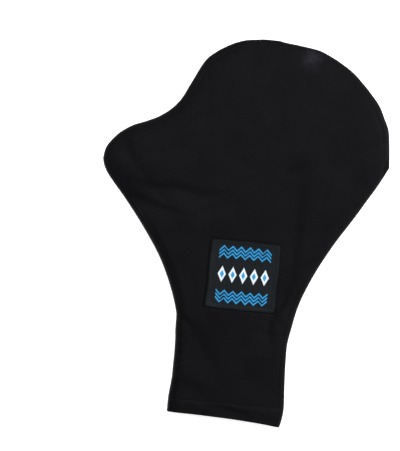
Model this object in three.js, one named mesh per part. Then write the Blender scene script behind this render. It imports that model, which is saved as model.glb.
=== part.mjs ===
// A webbed swim glove, right hand, lying flat with the back of the hand up.
// Millimetres. +X is the little finger's side, +Y the fingertips, +Z up from the surface it lies on.
import * as THREE from 'three';

// Driving sizes of the outline, measured from the mouth and from the wrist's centre line
const gloveLength = 269.4;
const thumbReach = 103.4;
const fingerReach = 97.2;
const cuffWidth = 77.6;
const hemDepth = 14;

// Thickness of the cloth and of the loose, lying glove
const clothWall = 1.2;
const hemWall = 1.9;
const hemSideWall = 3.2;
const gloveLoft = 9.6;
const seamGap = 0.3;
const seamLift = 0.4;
const seamWidth = 7;
const loftReach = 22;
const loftFullness = 0.8;

// The raised seam allowance that runs just inside the sewn edge
const allowanceWidth = 3.4;
const allowanceRise = 0.45;

// The mouth's edge stands back towards the hand except at the little finger's corner
const mouthDip = 2.8;
const mouthNarrowing = 1.4;

// Sizes of the woven label and its place above the hem
const labelWidth = 48.6;
const labelLength = 47.6;
const labelThickness = 1.0;
const labelAboveHem = 64.8;
const labelGap = 0.45;
const labelOffset = 2.4;

// Spacing of the facets
const rowPitch = 6.2;
const panelColumns = 33;
const palmColumns = 12;
const hemHalfSides = 26;
const hemRows = 4;
const labelCells = 9;

const panelLength = gloveLength - hemDepth;

// The edge on the thumb's side: along is a share of the panel from hem to fingertips,
// flare a share of the way from the cuff's edge out to the thumb's tip
const thumbEdge = [
  { along: 0.0000, flare: 0.004 },
  { along: 0.0600, flare: -0.014 },
  { along: 0.1100, flare: -0.014 },
  { along: 0.1650, flare: -0.006 },
  { along: 0.2000, flare: 0.017 },
  { along: 0.2240, flare: 0.037 },
  { along: 0.2620, flare: 0.080 },
  { along: 0.3010, flare: 0.138 },
  { along: 0.3400, flare: 0.207 },
  { along: 0.3790, flare: 0.289 },
  { along: 0.4570, flare: 0.500 },
  { along: 0.5350, flare: 0.745 },
  { along: 0.5800, flare: 0.900 },
  { along: 0.6050, flare: 0.968 },
  { along: 0.6320, flare: 1.000 },
  { along: 0.6600, flare: 0.982 },
  { along: 0.6820, flare: 0.930 },
  { along: 0.7060, flare: 0.845 },
  { along: 0.7300, flare: 0.708 },
  { along: 0.7450, flare: 0.565 },
  { along: 0.7610, flare: 0.438 },
  { along: 0.7840, flare: 0.319 },
  { along: 0.8150, flare: 0.218 },
  { along: 0.8470, flare: 0.156 },
  { along: 0.8780, flare: 0.098 },
  { along: 0.9090, flare: 0.040 },
  { along: 0.9320, flare: -0.018 },
  { along: 0.9540, flare: -0.115 },
  { along: 0.9730, flare: -0.232 },
  { along: 0.9850, flare: -0.328 },
  { along: 0.9925, flare: -0.416 },
  { along: 0.9975, flare: -0.545 },
  { along: 1.0000, flare: -0.647 },
];

// The edge on the little finger's side, in the same shares, with its one sharp corner
const fingerEdge = [
  { along: 0.0000, flare: 0.030 },
  { along: 0.0600, flare: 0.011 },
  { along: 0.1100, flare: -0.002 },
  { along: 0.1650, flare: -0.008 },
  { along: 0.2000, flare: 0.011 },
  { along: 0.2240, flare: 0.030 },
  { along: 0.2620, flare: 0.061 },
  { along: 0.3010, flare: 0.109 },
  { along: 0.3400, flare: 0.175 },
  { along: 0.3790, flare: 0.250 },
  { along: 0.4570, flare: 0.430 },
  { along: 0.5350, flare: 0.641 },
  { along: 0.5800, flare: 0.756 },
  { along: 0.6320, flare: 0.889 },
  { along: 0.6820, flare: 1.000, corner: true },
  { along: 0.7300, flare: 0.981 },
  { along: 0.7610, flare: 0.965 },
  { along: 0.7840, flare: 0.947 },
  { along: 0.8150, flare: 0.886 },
  { along: 0.8470, flare: 0.815 },
  { along: 0.8780, flare: 0.703 },
  { along: 0.9090, flare: 0.571 },
  { along: 0.9320, flare: 0.460 },
  { along: 0.9540, flare: 0.312 },
  { along: 0.9730, flare: 0.151 },
  { along: 0.9850, flare: 0.010 },
  { along: 0.9925, flare: -0.217 },
  { along: 0.9975, flare: -0.415 },
  { along: 1.0000, flare: -0.476 },
];

// How far the two cloths stand apart at each section: fill is a share of gloveLoft
const loftSections = [
  { along: 0.00, fill: 0.96 },
  { along: 0.20, fill: 0.90 },
  { along: 0.35, fill: 0.92 },
  { along: 0.55, fill: 1.00 },
  { along: 0.75, fill: 0.96 },
  { along: 0.90, fill: 0.82 },
  { along: 1.00, fill: 0.66 },
];

// Creases of the upper cloth: x as a share of fingerReach and y as a share of the panel from
// hem to fingertips, from one end to the other, halfWidth and depth as shares of gloveLoft
const creases = [
  { name: 'thumb upper', x0: -0.802, y0: 0.579, x1: -0.185, y1: 0.570, halfWidth: 0.42, depth: 0.105 },
  { name: 'thumb lower', x0: -0.769, y0: 0.536, x1: -0.471, y1: 0.504, halfWidth: 0.36, depth: 0.090 },
  { name: 'palm short', x0: -0.356, y0: 0.508, x1: -0.249, y1: 0.540, halfWidth: 0.34, depth: 0.065 },
  { name: 'web corner', x0: -0.923, y0: 0.706, x1: -0.854, y1: 0.662, halfWidth: 0.36, depth: 0.090 },
  { name: 'finger valley', x0: 0.386, y0: 0.682, x1: 0.395, y1: 0.299, halfWidth: 0.90, depth: 0.120 },
  { name: 'wrist thumb side', x0: -0.397, y0: 0.227, x1: -0.120, y1: 0.142, halfWidth: 0.50, depth: 0.095 },
  { name: 'wrist finger side', x0: 0.336, y0: 0.275, x1: 0.256, y1: 0.213, halfWidth: 0.40, depth: 0.090 },
  { name: 'little finger', x0: 0.942, y0: 0.767, x1: 0.700, y1: 0.615, halfWidth: 0.50, depth: 0.070 },
];

// Stitched rows that part the finger channels from the webs, ends in the same shares
const channelRows = [
  { name: 'index outer', x0: -0.395, y0: 0.921, x1: -0.395, y1: 0.652 },
  { name: 'index inner', x0: -0.074, y0: 0.966, x1: -0.050, y1: 0.766 },
  { name: 'middle outer', x0: 0.141, y0: 0.974, x1: -0.050, y1: 0.766 },
  { name: 'middle inner', x0: 0.354, y0: 0.910, x1: 0.243, y1: 0.649 },
  { name: 'ring outer', x0: 0.620, y0: 0.880, x1: 0.243, y1: 0.649 },
  { name: 'ring inner', x0: 0.800, y0: 0.840, x1: 0.543, y1: 0.575 },
  { name: 'little outer', x0: 0.942, y0: 0.767, x1: 0.543, y1: 0.575 },
  { name: 'thumb', x0: -0.980, y0: 0.676, x1: -0.563, y1: 0.525 },
];
const channelHalfWidth = 3.2;
const channelDepth = 0.55;

// Creases and channels fade out over this much cloth next to the sewn edge
const edgeFade = 9;

// Smooth step from 0 to 1
function ease(share) {
  const held = Math.min(Math.max(share, 0), 1);
  return held * held * (3 - 2 * held);
}

// Value of one column of a table at a share along, a cubic through its rows that never overshoots.
// place says where a share lies on the cubic's own scale, and a row marked corner keeps its sharp turn
function readTable(table, column, along, place = (share) => share) {
  const last = table.length - 1;
  const held = Math.min(Math.max(along, table[0].along), table[last].along);
  let row = 0;
  while (row < last - 1 && table[row + 1].along < held) {
    row += 1;
  }
  const at = (a) => place(table[a].along);
  const slope = (a) => (table[a + 1][column] - table[a][column]) / (at(a + 1) - at(a));
  const tangent = (a, side) => {
    const before = slope(Math.max(a - 1, 0));
    const after = slope(Math.min(a, last - 1));
    if (table[a].corner) {
      return side < 0 ? before : after;
    }
    return before * after > 0 ? 2 * before * after / (before + after) : 0;
  };
  const step = at(row + 1) - at(row);
  const t = (place(held) - at(row)) / step;
  const start = table[row][column];
  const end = table[row + 1][column];
  const startPull = tangent(row, 1) * step;
  const endPull = tangent(row + 1, -1) * step;
  return start + (end - start) * t * t * (3 - 2 * t)
    + startPull * t * (1 - t) * (1 - t) - endPull * t * t * (1 - t);
}

// On this scale the outline turns over the fingertips in an even arc
function overTips(along) {
  return 1 - Math.sqrt(Math.max(1 - along, 0));
}

// The two edges of the glove at a height y above the mouth
function shareAlong(y) {
  return (y - hemDepth) / panelLength;
}

function thumbX(y) {
  const flare = readTable(thumbEdge, 'flare', shareAlong(y), overTips);
  return -cuffWidth / 2 - (thumbReach - cuffWidth / 2) * flare;
}

function fingerX(y) {
  const flare = readTable(fingerEdge, 'flare', shareAlong(y), overTips);
  return cuffWidth / 2 + (fingerReach - cuffWidth / 2) * flare;
}

// Heights of the rows of facets: every row of both edge tables, with the long steps divided
function rowHeights(firstY) {
  const marks = [...new Set([...thumbEdge, ...fingerEdge].map((row) => row.along))];
  marks.sort((a, b) => a - b);
  const heights = [];
  for (let i = 0; i + 1 < marks.length; i += 1) {
    const steps = Math.ceil((marks[i + 1] - marks[i]) * panelLength / rowPitch);
    for (let s = 0; s < steps; s += 1) {
      heights.push(hemDepth + panelLength * (marks[i] + (marks[i + 1] - marks[i]) * s / steps));
    }
  }
  heights.push(gloveLength);
  heights[0] = firstY;
  return heights;
}

// Distance from a point to a straight line between two points, and the share along it
function toSegment(x, y, x0, y0, x1, y1) {
  const dx = x1 - x0;
  const dy = y1 - y0;
  const share = Math.min(Math.max(((x - x0) * dx + (y - y0) * dy) / (dx * dx + dy * dy), 0), 1);
  return { distance: Math.hypot(x - x0 - dx * share, y - y0 - dy * share), share };
}

// The same for a row of a table whose ends are shares
function toRow(x, y, row) {
  return toSegment(x, y, row.x0 * fingerReach, hemDepth + row.y0 * panelLength,
    row.x1 * fingerReach, hemDepth + row.y1 * panelLength);
}

// The sewn edge as a polyline, from the hem up the thumb's side, over the tips and down
const sewnEdge = [];
for (const y of rowHeights(0)) {
  sewnEdge.push([thumbX(y), y]);
}
for (const y of rowHeights(0).reverse()) {
  sewnEdge.push([fingerX(y), y]);
}

function edgeDistance(x, y) {
  let nearest = Infinity;
  for (let i = 0; i + 1 < sewnEdge.length; i += 1) {
    const [x0, y0] = sewnEdge[i];
    const [x1, y1] = sewnEdge[i + 1];
    nearest = Math.min(nearest, toSegment(x, y, x0, y0, x1, y1).distance);
  }
  return nearest;
}

// Height of the lower cloth's underside: flat, and turned up a little at the sewn edge
function undersideZ(x, y) {
  return seamLift * (1 - ease(edgeDistance(x, y) / seamWidth));
}

// Height of the upper cloth's outer face
function upperZ(x, y) {
  const inside = edgeDistance(x, y);
  const seamTop = seamLift + clothWall + seamGap + clothWall;
  const crest = gloveLoft * readTable(loftSections, 'fill', shareAlong(y));
  const rise = Math.sin(Math.PI / 2 * Math.min(inside / loftReach, 1)) ** loftFullness;
  let z = seamTop + (crest - seamTop) * rise;
  z += allowanceRise * Math.exp(-(((inside - allowanceWidth) / (allowanceWidth / 2)) ** 2));
  const fade = ease(inside / edgeFade);
  for (const crease of creases) {
    const near = toRow(x, y, crease);
    const spread = near.distance / (crease.halfWidth * gloveLoft);
    const taper = 0.5 + 0.5 * Math.sin(Math.PI * near.share);
    z -= fade * crease.depth * gloveLoft * Math.exp(-spread * spread) * taper;
  }
  for (const row of channelRows) {
    const spread = toRow(x, y, row).distance / channelHalfWidth;
    z -= fade * channelDepth * Math.exp(-spread * spread);
  }
  return z;
}

// A closed sheet between two height functions over a grid of rows and columns
function sheetGeometry(rows, columns, place, lowZ, highZ) {
  const positions = [];
  const index = [];
  for (const height of [lowZ, highZ]) {
    for (let r = 0; r < rows; r += 1) {
      for (let c = 0; c < columns; c += 1) {
        const [x, y] = place(r, c);
        positions.push(x, y, height(x, y));
      }
    }
  }
  const at = (level, r, c) => (level * rows + r) * columns + c;
  const quad = (a, b, c, d) => index.push(a, b, c, a, c, d);
  for (let r = 0; r + 1 < rows; r += 1) {
    for (let c = 0; c + 1 < columns; c += 1) {
      quad(at(0, r, c), at(0, r + 1, c), at(0, r + 1, c + 1), at(0, r, c + 1));
      quad(at(1, r, c), at(1, r, c + 1), at(1, r + 1, c + 1), at(1, r + 1, c));
    }
    quad(at(0, r, 0), at(1, r, 0), at(1, r + 1, 0), at(0, r + 1, 0));
    quad(at(0, r, columns - 1), at(0, r + 1, columns - 1), at(1, r + 1, columns - 1), at(1, r, columns - 1));
  }
  for (let c = 0; c + 1 < columns; c += 1) {
    quad(at(0, 0, c), at(0, 0, c + 1), at(1, 0, c + 1), at(1, 0, c));
    quad(at(0, rows - 1, c), at(1, rows - 1, c), at(1, rows - 1, c + 1), at(0, rows - 1, c + 1));
  }
  const geometry = new THREE.BufferGeometry();
  geometry.setAttribute('position', new THREE.Float32BufferAttribute(positions, 3));
  geometry.setIndex(index);
  geometry.computeVertexNormals();
  return geometry;
}

// A panel's grid: columns lie closer together near the sewn edges
function panelPlace(heights, columns) {
  return (r, c) => {
    const y = heights[r];
    const even = c / (columns - 1);
    const share = 0.55 * (0.5 - 0.5 * Math.cos(Math.PI * even)) + 0.45 * even;
    return [thumbX(y) + (fingerX(y) - thumbX(y)) * share, y];
  };
}

function buildBackPanel() {
  const heights = rowHeights(hemDepth + seamGap);
  return sheetGeometry(heights.length, panelColumns, panelPlace(heights, panelColumns),
    (x, y) => upperZ(x, y) - clothWall, upperZ);
}

function buildPalmPanel() {
  const heights = rowHeights(hemDepth + seamGap);
  return sheetGeometry(heights.length, palmColumns, panelPlace(heights, palmColumns),
    undersideZ, (x, y) => undersideZ(x, y) + clothWall);
}

// One ring of the hem: along the lower cloth, then back over the upper one
function hemRing(y, shift, sideInset, wallInset) {
  const ring = [];
  const sideX = (share) => {
    const left = thumbX(y) + sideInset;
    const right = fingerX(y) - sideInset;
    return left + (right - left) * share;
  };
  const sample = (i) => 0.5 - 0.5 * Math.cos(Math.PI * i / hemHalfSides);
  for (let i = 0; i <= hemHalfSides; i += 1) {
    const x = sideX(sample(i));
    ring.push([shift(x), x, undersideZ(x, y) + wallInset]);
  }
  for (let i = hemHalfSides; i >= 0; i -= 1) {
    const x = sideX(sample(i));
    ring.push([shift(x), x, upperZ(x, y) - wallInset]);
  }
  return ring;
}

// The hem is a flattened ring whose outer face carries on from both panels
function buildCuffHem() {
  const positions = [];
  const index = [];
  const rows = hemRows + 1;
  const sides = 2 * (hemHalfSides + 1);
  for (const [sideInset, wallInset] of [[0, 0], [hemSideWall, hemWall]]) {
    for (let r = 0; r < rows; r += 1) {
      const up = r / hemRows;
      const shift = (x) => {
        const share = Math.min(Math.max(0.5 + x / cuffWidth, 0), 1);
        return hemDepth * up + mouthDip * (1 - share ** 3) * (1 - up);
      };
      const narrowing = 1 - mouthNarrowing / cuffWidth * 2 * (1 - up) ** 3;
      for (const [y, x, z] of hemRing(hemDepth * up, shift, sideInset, wallInset)) {
        positions.push(x * narrowing, y, z);
      }
    }
  }
  const at = (level, r, s) => (level * rows + r) * sides + s % sides;
  const quad = (a, b, c, d) => index.push(a, b, c, a, c, d);
  for (let s = 0; s < sides; s += 1) {
    for (let r = 0; r < hemRows; r += 1) {
      quad(at(0, r, s), at(0, r + 1, s), at(0, r + 1, s + 1), at(0, r, s + 1));
      quad(at(1, r, s), at(1, r, s + 1), at(1, r + 1, s + 1), at(1, r + 1, s));
    }
    quad(at(0, 0, s), at(0, 0, s + 1), at(1, 0, s + 1), at(1, 0, s));
    quad(at(0, hemRows, s), at(1, hemRows, s), at(1, hemRows, s + 1), at(0, hemRows, s + 1));
  }
  const geometry = new THREE.BufferGeometry();
  geometry.setAttribute('position', new THREE.Float32BufferAttribute(positions, 3));
  geometry.setIndex(index);
  geometry.computeVertexNormals();
  return geometry;
}

// The label lies on the upper cloth and follows it
function buildLabel() {
  const cells = labelCells + 1;
  const place = (r, c) => [
    labelOffset + labelWidth * (c / labelCells - 0.5),
    hemDepth + labelAboveHem + labelLength * r / labelCells,
  ];
  return sheetGeometry(cells, cells, place,
    (x, y) => upperZ(x, y) + labelGap, (x, y) => upperZ(x, y) + labelGap + labelThickness);
}

const group = new THREE.Group();

function addPiece(name, geometry, color, roughness) {
  const material = new THREE.MeshStandardMaterial({ color, roughness, metalness: 0 });
  const mesh = new THREE.Mesh(geometry, material);
  mesh.name = name;
  group.add(mesh);
}

// The origin lies under the middle of the palm, on the surface that carries the glove
group.position.set(0, -gloveLength / 2, 0);

addPiece('back_panel', buildBackPanel(), 0x1b1b1d, 0.85);
addPiece('palm_panel', buildPalmPanel(), 0x1b1b1d, 0.85);
addPiece('cuff_hem', buildCuffHem(), 0x1a1a1c, 0.85);
addPiece('label', buildLabel(), 0x20252c, 0.7);

export default group;
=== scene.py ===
# Webbed swim glove for the right hand, lying flat with the back of the hand up
import math
from functools import partial

import bpy
import numpy as np
from mathutils import Matrix, Vector, noise


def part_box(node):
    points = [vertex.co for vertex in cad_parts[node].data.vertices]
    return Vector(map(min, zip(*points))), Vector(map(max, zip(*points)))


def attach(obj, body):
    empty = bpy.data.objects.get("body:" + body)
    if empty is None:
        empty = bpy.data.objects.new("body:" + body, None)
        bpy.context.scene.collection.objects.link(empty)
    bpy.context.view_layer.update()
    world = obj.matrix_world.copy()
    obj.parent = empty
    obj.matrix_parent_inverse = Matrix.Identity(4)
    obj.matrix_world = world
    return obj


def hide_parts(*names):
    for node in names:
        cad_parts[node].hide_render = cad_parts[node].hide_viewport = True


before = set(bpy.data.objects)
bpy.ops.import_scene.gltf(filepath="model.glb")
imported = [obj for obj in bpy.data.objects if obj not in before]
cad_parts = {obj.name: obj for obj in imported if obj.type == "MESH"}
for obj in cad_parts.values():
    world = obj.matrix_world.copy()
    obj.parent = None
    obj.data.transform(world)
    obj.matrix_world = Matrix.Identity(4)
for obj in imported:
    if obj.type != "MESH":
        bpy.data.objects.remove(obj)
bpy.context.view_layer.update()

mm = 0.001

# Where the glove lies: the wrist's centre line is x = 0, and lengths are counted up from the mouth
mouthY = float(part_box("cuff_hem")[0][1])
hemTopY = float(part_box("cuff_hem")[1][1])
tipY = float(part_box("back_panel")[1][1])
crestZ = float(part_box("back_panel")[1][2])
panelOverHem = 0.9 * mm      # the panels reach this far down over the hem
panelEndY = hemTopY - panelOverHem


def selectOnly(piece):
    bpy.ops.object.select_all(action="DESELECT")
    piece.select_set(True)
    bpy.context.view_layer.objects.active = piece


def finishPiece(piece, name, material, slotName, *nodes):
    piece.name = name
    piece.data.name = name
    piece.data.materials.clear()
    piece.data.materials.append(material)
    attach(piece, "root")
    if nodes:
        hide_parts(*nodes)
    return piece


# Smooth step and a smooth bump, both for whole arrays
def ease(share):
    held = np.clip(share, 0, 1)
    return held * held * (3 - 2 * held)


def hump(distance, width):
    return np.exp(-(distance / width) ** 2)


creaseShape = {
    "deepest": 0.7,              # its deepest line lies this many widths beside its path
    "gentleSide": 2.1,           # the far side is this much wider
    "fadeOut": 1.4,              # beyond its ends it is gone in about this many widths
    "clothEnds": (0.06, 0.7),    # how far along its taper it starts, and the taper's power
    "hemEnds": (0.08, 1),
}


# The section of a crease: its path is the steep side, and the cloth beyond it comes up gently
def creaseDip(offset, width):
    past = offset - creaseShape["deepest"] * width
    return hump(past, np.where(past < 0, width, creaseShape["gentleSide"] * width))


# A curve through the rows of a table that never overshoots them
def smoothThrough(at, knots, values):
    knots = np.asarray(knots, float)
    values = np.asarray(values, float)
    slopes = np.diff(values) / np.diff(knots)
    pull = np.zeros(len(knots))
    pull[0] = slopes[0]
    pull[-1] = slopes[-1]
    before = slopes[:-1]
    after = slopes[1:]
    same = before * after > 0
    pull[1:-1] = np.where(same, 2 * before * after / np.where(same, before + after, 1.0), 0)
    at = np.clip(at, knots[0], knots[-1])
    row = np.clip(np.searchsorted(knots, at, side="right") - 1, 0, len(knots) - 2)
    step = knots[row + 1] - knots[row]
    t = (at - knots[row]) / step
    rest = 1 - t
    return (values[row] * rest * rest * (1 + 2 * t) + values[row + 1] * t * t * (3 - 2 * t)
            + pull[row] * step * t * rest * rest - pull[row + 1] * step * t * t * rest)


leastRowGap = 0.2 * mm


# The sewn edge, read from the frame's palm panel: one left and one right point for each of its rows
def readSewnEdge(node):
    points = np.array([v.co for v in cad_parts[node].data.vertices])
    heights = np.round(points[:, 1], 5)
    rows = np.unique(heights)
    left = np.array([points[heights == y, 0].min() for y in rows])
    right = np.array([points[heights == y, 0].max() for y in rows])
    keep = np.concatenate([[True], np.diff(rows) > leastRowGap])
    return rows[keep], left[keep], right[keep]


edgeRows, edgeLeft, edgeRight = readSewnEdge("palm_panel")
cornerRow = int(np.argmax(edgeRight))       # the little finger's side has one sharp corner

# On the thumb's side the stretched cuff lies a little wider than its solid, from below the wrist down
cuffSpread = {"by": 2.1 * mm, "below": 73 * mm, "over": 15 * mm}
spreadShare = ease((mouthY + cuffSpread["below"] - edgeRows) / cuffSpread["over"])
edgeLeft = edgeLeft - cuffSpread["by"] * spreadShare


# On this scale the outline turns over the fingertips in an even arc
def overTips(y):
    return 1 - np.sqrt(np.clip((tipY - y) / (tipY - hemTopY), 0, 1))


def leftX(y):
    return smoothThrough(overTips(y), overTips(edgeRows), edgeLeft)


def rightX(y):
    knots = overTips(edgeRows)
    below = smoothThrough(overTips(y), knots[:cornerRow + 1], edgeRight[:cornerRow + 1])
    above = smoothThrough(overTips(y), knots[cornerRow:], edgeRight[cornerRow:])
    return np.where(y < edgeRows[cornerRow], below, above)


# The edge as one fine line, from below the mouth up the thumb's side, over the fingertips and down
finePoints = 600
belowMouth = 0.02
fineY = tipY - (tipY - panelEndY) * np.linspace(1, 0, finePoints) ** 2
fineLeft = np.column_stack([leftX(fineY), fineY])
fineRight = np.column_stack([rightX(fineY), fineY])
wristLeft = np.array([[fineLeft[0, 0], mouthY - belowMouth]])
wristRight = np.array([[fineRight[0, 0], mouthY - belowMouth]])
sewnLine = np.concatenate([wristLeft, fineLeft, fineRight[::-1], wristRight])


def runOf(line):
    return np.concatenate([[0], np.cumsum(np.linalg.norm(np.diff(line, axis=0), axis=1))])


sewnRun = runOf(sewnLine)


# Distance from points to a line of points, how far along it the nearest place is, and on which side
# of it they lie: 1 to the right of the line's own direction, -1 to the left
def nearLine(x, y, line, run):
    nearest = np.full(x.shape, 1e9)
    along = np.zeros(x.shape)
    side = np.ones(x.shape)
    for (ax, ay), (bx, by), start, end in zip(line[:-1], line[1:], run[:-1], run[1:]):
        dx = bx - ax
        dy = by - ay
        share = np.clip(((x - ax) * dx + (y - ay) * dy) / max(dx * dx + dy * dy, 1e-18), 0, 1)
        distance = np.hypot(x - ax - dx * share, y - ay - dy * share)
        closer = distance < nearest
        nearest = np.where(closer, distance, nearest)
        along = np.where(closer, start + (end - start) * share, along)
        side = np.where(closer, np.sign((x - ax) * dy - (y - ay) * dx + 1e-15), side)
    return nearest, along, side


# The little finger's corner parts the edge in two; near it the cloth's loft blends both distances
cornerAt = len(fineY) + 1 + int(np.argmax(fineRight[::-1, 0]))
cornerBlend = 5 * mm


# Distance inside the edge, the place along it, and the distance again with the corner softened
def insideEdge(x, y):
    over, alongOver, _ = nearLine(x, y, sewnLine[:cornerAt + 1], sewnRun[:cornerAt + 1])
    under, alongUnder, _ = nearLine(x, y, sewnLine[cornerAt:], sewnRun[cornerAt:])
    blend = -cornerBlend * np.log(np.exp(-over / cornerBlend) + np.exp(-under / cornerBlend))
    return np.minimum(over, under), np.where(over < under, alongOver, alongUnder), np.maximum(blend, 0)


# Rows of the cloth lie where the longer of its two edges has run on by equal lengths
rowRun = np.maximum(np.diff(runOf(fineLeft)), np.diff(runOf(fineRight)))
rowRun = np.concatenate([[0], np.cumsum(rowRun)])
rowRun /= rowRun[-1]

form = {
    "seamHeight": 1.75 * mm,     # the sewn edge above the surface that it lies on
    "rimRise": 1.25 * mm,        # turned allowance makes the edge this much thicker above
    "rimWidth": 0.75 * mm,
    "edgeLift": 0.4 * mm,        # the lower cloth turns up this much near its edge
    "edgeLiftWidth": 7 * mm,
    "loftReach": 22 * mm,        # the two cloths stand apart fully this far inside the edge
    "loftFullness": 0.52,
    "thumbSideReach": 9 * mm,    # below the thumb the cloth lies flatter, up to its edge
    "thumbSideFullness": 0.40,
    "thumbSideBelow": 150 * mm,
    "thumbSideOver": 25 * mm,
    "fadeReach": 8 * mm,         # creases, grooves and waves come up to full this far inside
    "creaseAtEdge": 0.35,        # the share of a crease that runs on into the seam
    "wave": 0.75 * mm,           # broad unevenness of the lying cloth
    "broadWave": (24, 3.7),      # waves for each metre, and the seed
    "fineWave": (58, 9.1),
    "fineShare": 0.5,
}

# The allowance inside the seam. Each ridge and groove: distance from the edge, width and height
allowance = {
    "ridge": (2.7 * mm, 1.2 * mm, 0.24 * mm),
    "groove": (4.7 * mm, 0.9 * mm, 0.28 * mm),
    "wristRidge": (1.5 * mm, 0.9 * mm, 0.45 * mm),
    "wristGroove": (3.3 * mm, 0.8 * mm, 0.60 * mm),
    "wristBelow": 84 * mm,
    "wristOver": 12 * mm,
    "clearWaves": (61, 1.3, 23, 0.4),        # where it shows clearly: two rates and their starts
    "pucker": 0.13 * mm,
    "puckerLength": 1.15 * mm,
    "puckerDrift": (2.5, 90),
    "puckerPatches": 37,
    "puckerPlace": (3.2 * mm, 2.6 * mm),
}

# How far apart the cloths stand, as a share of the crest, from hem to fingertips
loftAlong = [0.00, 0.20, 0.35, 0.55, 0.75, 0.90, 1.00]
loftFill = [0.96, 0.90, 0.92, 1.00, 0.96, 0.82, 0.66]

# Creases of the upper cloth, in millimetres from the wrist's centre line and up from the mouth
creases = [
    {"path": [(-82, 161), (-67, 160), (-51, 161), (-33, 158.5), (-17, 159)], "width": 4.2, "depth": 1.50},
    {"path": [(-78, 152.5), (-67, 148), (-54, 145), (-45, 143)], "width": 3.4, "depth": 1.35},
    {"path": [(-36, 140), (-31, 146.5), (-23, 151)], "width": 2.4, "depth": 0.80},
    {"path": [(-90, 196), (-86, 189), (-83, 181), (-77, 175)], "width": 3.0, "depth": 0.90},
    {"path": [(-84, 186), (-71, 185), (-62, 188)], "width": 3.0, "depth": 0.35},
    {"path": [(39, 178), (38.5, 150), (39, 132), (38.5, 118), (38.5, 107), (36.5, 96), (33.5, 86), (29, 78)],
     "width": 5.5, "depth": 2.00},
    {"path": [(-42, 72.5), (-36, 70.5), (-31, 67.5)], "width": 1.7, "depth": 0.85},
    {"path": [(-37, 70), (-31, 66), (-26, 62)], "width": 3.0, "depth": 0.35},
    {"path": [(-28, 64), (-20, 55), (-12, 44), (-8, 34)], "width": 6.0, "depth": 0.95},
    {"path": [(37.5, 101), (36.3, 95), (34.2, 88.5), (31, 80), (28.5, 73)], "width": 4.6, "depth": 2.20},
    {"path": [(28.5, 83), (26.5, 75), (25.8, 68), (26.5, 60)], "width": 4.6, "depth": 2.20},
    {"path": [(28, 75), (37, 71)], "width": 1.8, "depth": 0.40},
    {"path": [(31, 65), (28, 56), (27, 47)], "width": 8.0, "depth": 1.00},
    {"path": [(79, 192), (84, 201), (92, 209)], "width": 2.6, "depth": 0.45},
    {"path": [(62, 160), (68, 170), (77, 178)], "width": 3.0, "depth": 0.35},
    {"path": [(23, 177), (31, 181), (38, 186)], "width": 2.4, "depth": 0.70},
    {"path": [(44, 225), (50, 231)], "width": 1.8, "depth": 0.35},
    {"path": [(-9, 185), (-1, 182)], "width": 1.8, "depth": 0.45},
    {"path": [(-60, 205), (-45, 210), (-33, 214)], "width": 3.2, "depth": 0.40},
    {"path": [(-35, 30), (-26, 24.5), (-11, 19.5)], "width": 5.0, "depth": 1.10},
    {"path": [(8, 38), (18, 33), (30, 32)], "width": 4.0, "depth": 0.40},
    {"path": [(-58, 118), (-50, 131), (-38, 139)], "width": 4.0, "depth": 0.45},
    {"path": [(-36, 245), (-20, 250), (-6, 257)], "width": 2.6, "depth": 0.35},
]

# Soft swellings beside them: centre, radius and height
swellings = [
    {"at": (-15, 142), "radius": 7.0, "height": 0.85},
    {"at": (-60, 172), "radius": 13.0, "height": 0.60},
    {"at": (-48, 152), "radius": 7.0, "height": 0.30},
    {"at": (58, 150), "radius": 14.0, "height": 0.40},
    {"at": (-20, 80), "radius": 12.0, "height": 0.40},
]

# Stitched rows that part the finger channels from the webs
channelRows = [
    [(-38, 249), (-34.5, 226), (-35, 204), (-38.4, 180)],      # first finger
    [(-7.2, 260.5), (-6, 247), (-6.5, 232), (-4.5, 210)],
    [(13.7, 262.5), (9.4, 243), (2, 224), (-4.5, 210)],        # middle finger
    [(34.4, 246), (29.5, 226), (25.7, 208), (23.6, 180)],
    [(60.3, 238), (48, 218), (34, 196), (23.6, 180)],          # ring finger
    [(78, 226), (70, 205), (60, 182), (52.8, 161)],
    [(91.6, 209), (76, 195), (62, 185), (57, 176), (52.8, 161)],      # little finger
    [(-95.3, 186.3), (-75, 167), (-54.8, 147.5)],              # thumb
]
channel = {"groove": (0.8, 0.18), "valley": (5.0, 0.24), "pull": 0.35}


def placed(points):
    return np.array(points, float) * mm + np.array([0, mouthY])


# A given path made smooth by a curve through its points
def smoothPath(points, pieces=10):
    points = placed(points)
    if len(points) == 2:
        return np.linspace(points[0], points[1], pieces)
    ends = np.concatenate([[2 * points[0] - points[1]], points, [2 * points[-1] - points[-2]]])
    line = []
    for a, b, c, d in zip(ends[:-3], ends[1:-2], ends[2:-1], ends[3:]):
        for t in np.arange(pieces) / pieces:
            line.append(0.5 * (2 * b + (c - a) * t + (2 * a - 5 * b + 4 * c - d) * t * t
                               + (3 * b - a - 3 * c + d) * t ** 3))
    line.append(points[-1])
    return np.array(line)


def cloudAt(x, y, scale, seed):
    return np.array([noise.noise(Vector((a * scale, b * scale, seed))) for a, b in zip(x, y)])


# Height of the lower cloth's underside
def underHeight(x, y, inside=None):
    if inside is None:
        inside = nearLine(x, y, sewnLine, sewnRun)[0]
    rim = form["seamHeight"] - form["edgeLift"]
    return (form["edgeLift"] * (1 - ease(inside / form["edgeLiftWidth"]))
            + rim * np.exp(-inside / form["rimWidth"]))


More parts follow.
